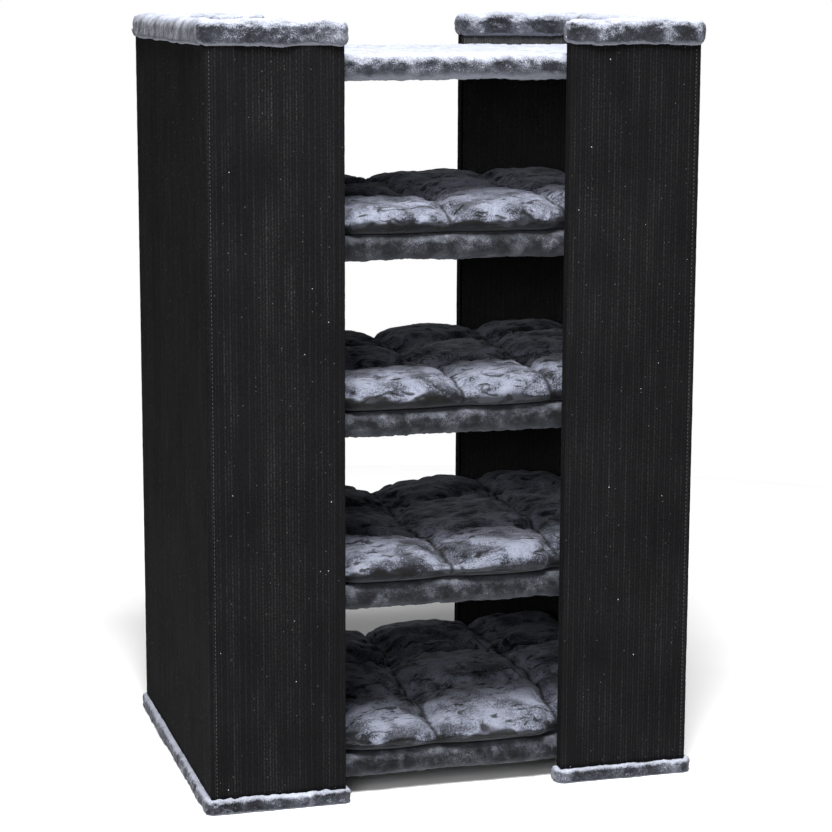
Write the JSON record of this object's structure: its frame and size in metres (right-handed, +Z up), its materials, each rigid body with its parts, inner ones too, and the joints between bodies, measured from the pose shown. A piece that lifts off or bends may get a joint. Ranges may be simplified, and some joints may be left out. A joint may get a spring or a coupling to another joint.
{
  "type": "cat tree",
  "caption": "Tower-shaped cat tree: two sisal-covered U-section columns joined by plush shelves with loose cushions in open compartments and a rimmed tray on top.",
  "frame": {"origin": "on the floor at the middle of the tower's footprint", "axes": "+X to the right column, +Y to the back, +Z up"},
  "size_m": [0.794, 0.604, 1.2],
  "materials": {
    "sisal": "ribbed black sisal carpet",
    "lining": "dark ribbed carpet",
    "plush": "short silver-tipped charcoal plush",
    "velvet": "crushed silver-grey velvet plush",
    "filling": "polyester fibre filling",
    "chipboard": "raw chipboard",
    "beech": "fluted beech dowel",
    "zinc_steel": "zinc-plated"
  },
  "bodies": {
    "tower": {"left_side_board": "chipboard", "left_front_board": "chipboard", "left_back_board": "chipboard", "left_sisal_cover": "sisal", "left_lining": "lining", "left_base_board": "chipboard", "left_base_plush": "plush", "left_front_rim": "plush", "left_side_rim": "plush", "left_back_rim": "plush", "left_corner_screws": "zinc_steel", "left_base_screws": "zinc_steel", "right_side_board": "chipboard", "right_front_board": "chipboard", "right_back_board": "chipboard", "right_sisal_cover": "sisal", "right_lining": "lining", "right_base_board": "chipboard", "right_base_plush": "plush", "right_front_rim": "plush", "right_side_rim": "plush", "right_back_rim": "plush", "right_corner_screws": "zinc_steel", "right_base_screws": "zinc_steel", "shelf_1_board": "chipboard", "shelf_1_plush": "plush", "shelf_2_board": "chipboard", "shelf_2_plush": "plush", "shelf_3_board": "chipboard", "shelf_3_plush": "plush", "shelf_4_board": "chipboard", "shelf_4_plush": "plush", "shelf_5_board": "chipboard", "shelf_5_plush": "plush", "cam_bolts": "zinc_steel", "cam_locks": "zinc_steel", "dowels": "beech"},
    "cushion_1": {"cushion_1_cover": "velvet", "cushion_1_filling": "filling"},
    "cushion_2": {"cushion_2_cover": "velvet", "cushion_2_filling": "filling"},
    "cushion_3": {"cushion_3_cover": "velvet", "cushion_3_filling": "filling"},
    "cushion_4": {"cushion_4_cover": "velvet", "cushion_4_filling": "filling"}
  },
  "joints": [
    {"name": "cushion_1_lift", "type": "slide", "parent": "tower", "child": "cushion_1", "axis": [0, 0, 1], "range_m": [0, 0.13]},
    {"name": "cushion_2_lift", "type": "slide", "parent": "tower", "child": "cushion_2", "axis": [0, 0, 1], "range_m": [0, 0.13]},
    {"name": "cushion_3_lift", "type": "slide", "parent": "tower", "child": "cushion_3", "axis": [0, 0, 1], "range_m": [0, 0.13]},
    {"name": "cushion_4_lift", "type": "slide", "parent": "tower", "child": "cushion_4", "axis": [0, 0, 1], "range_m": [0, 0.13]}
  ]
}
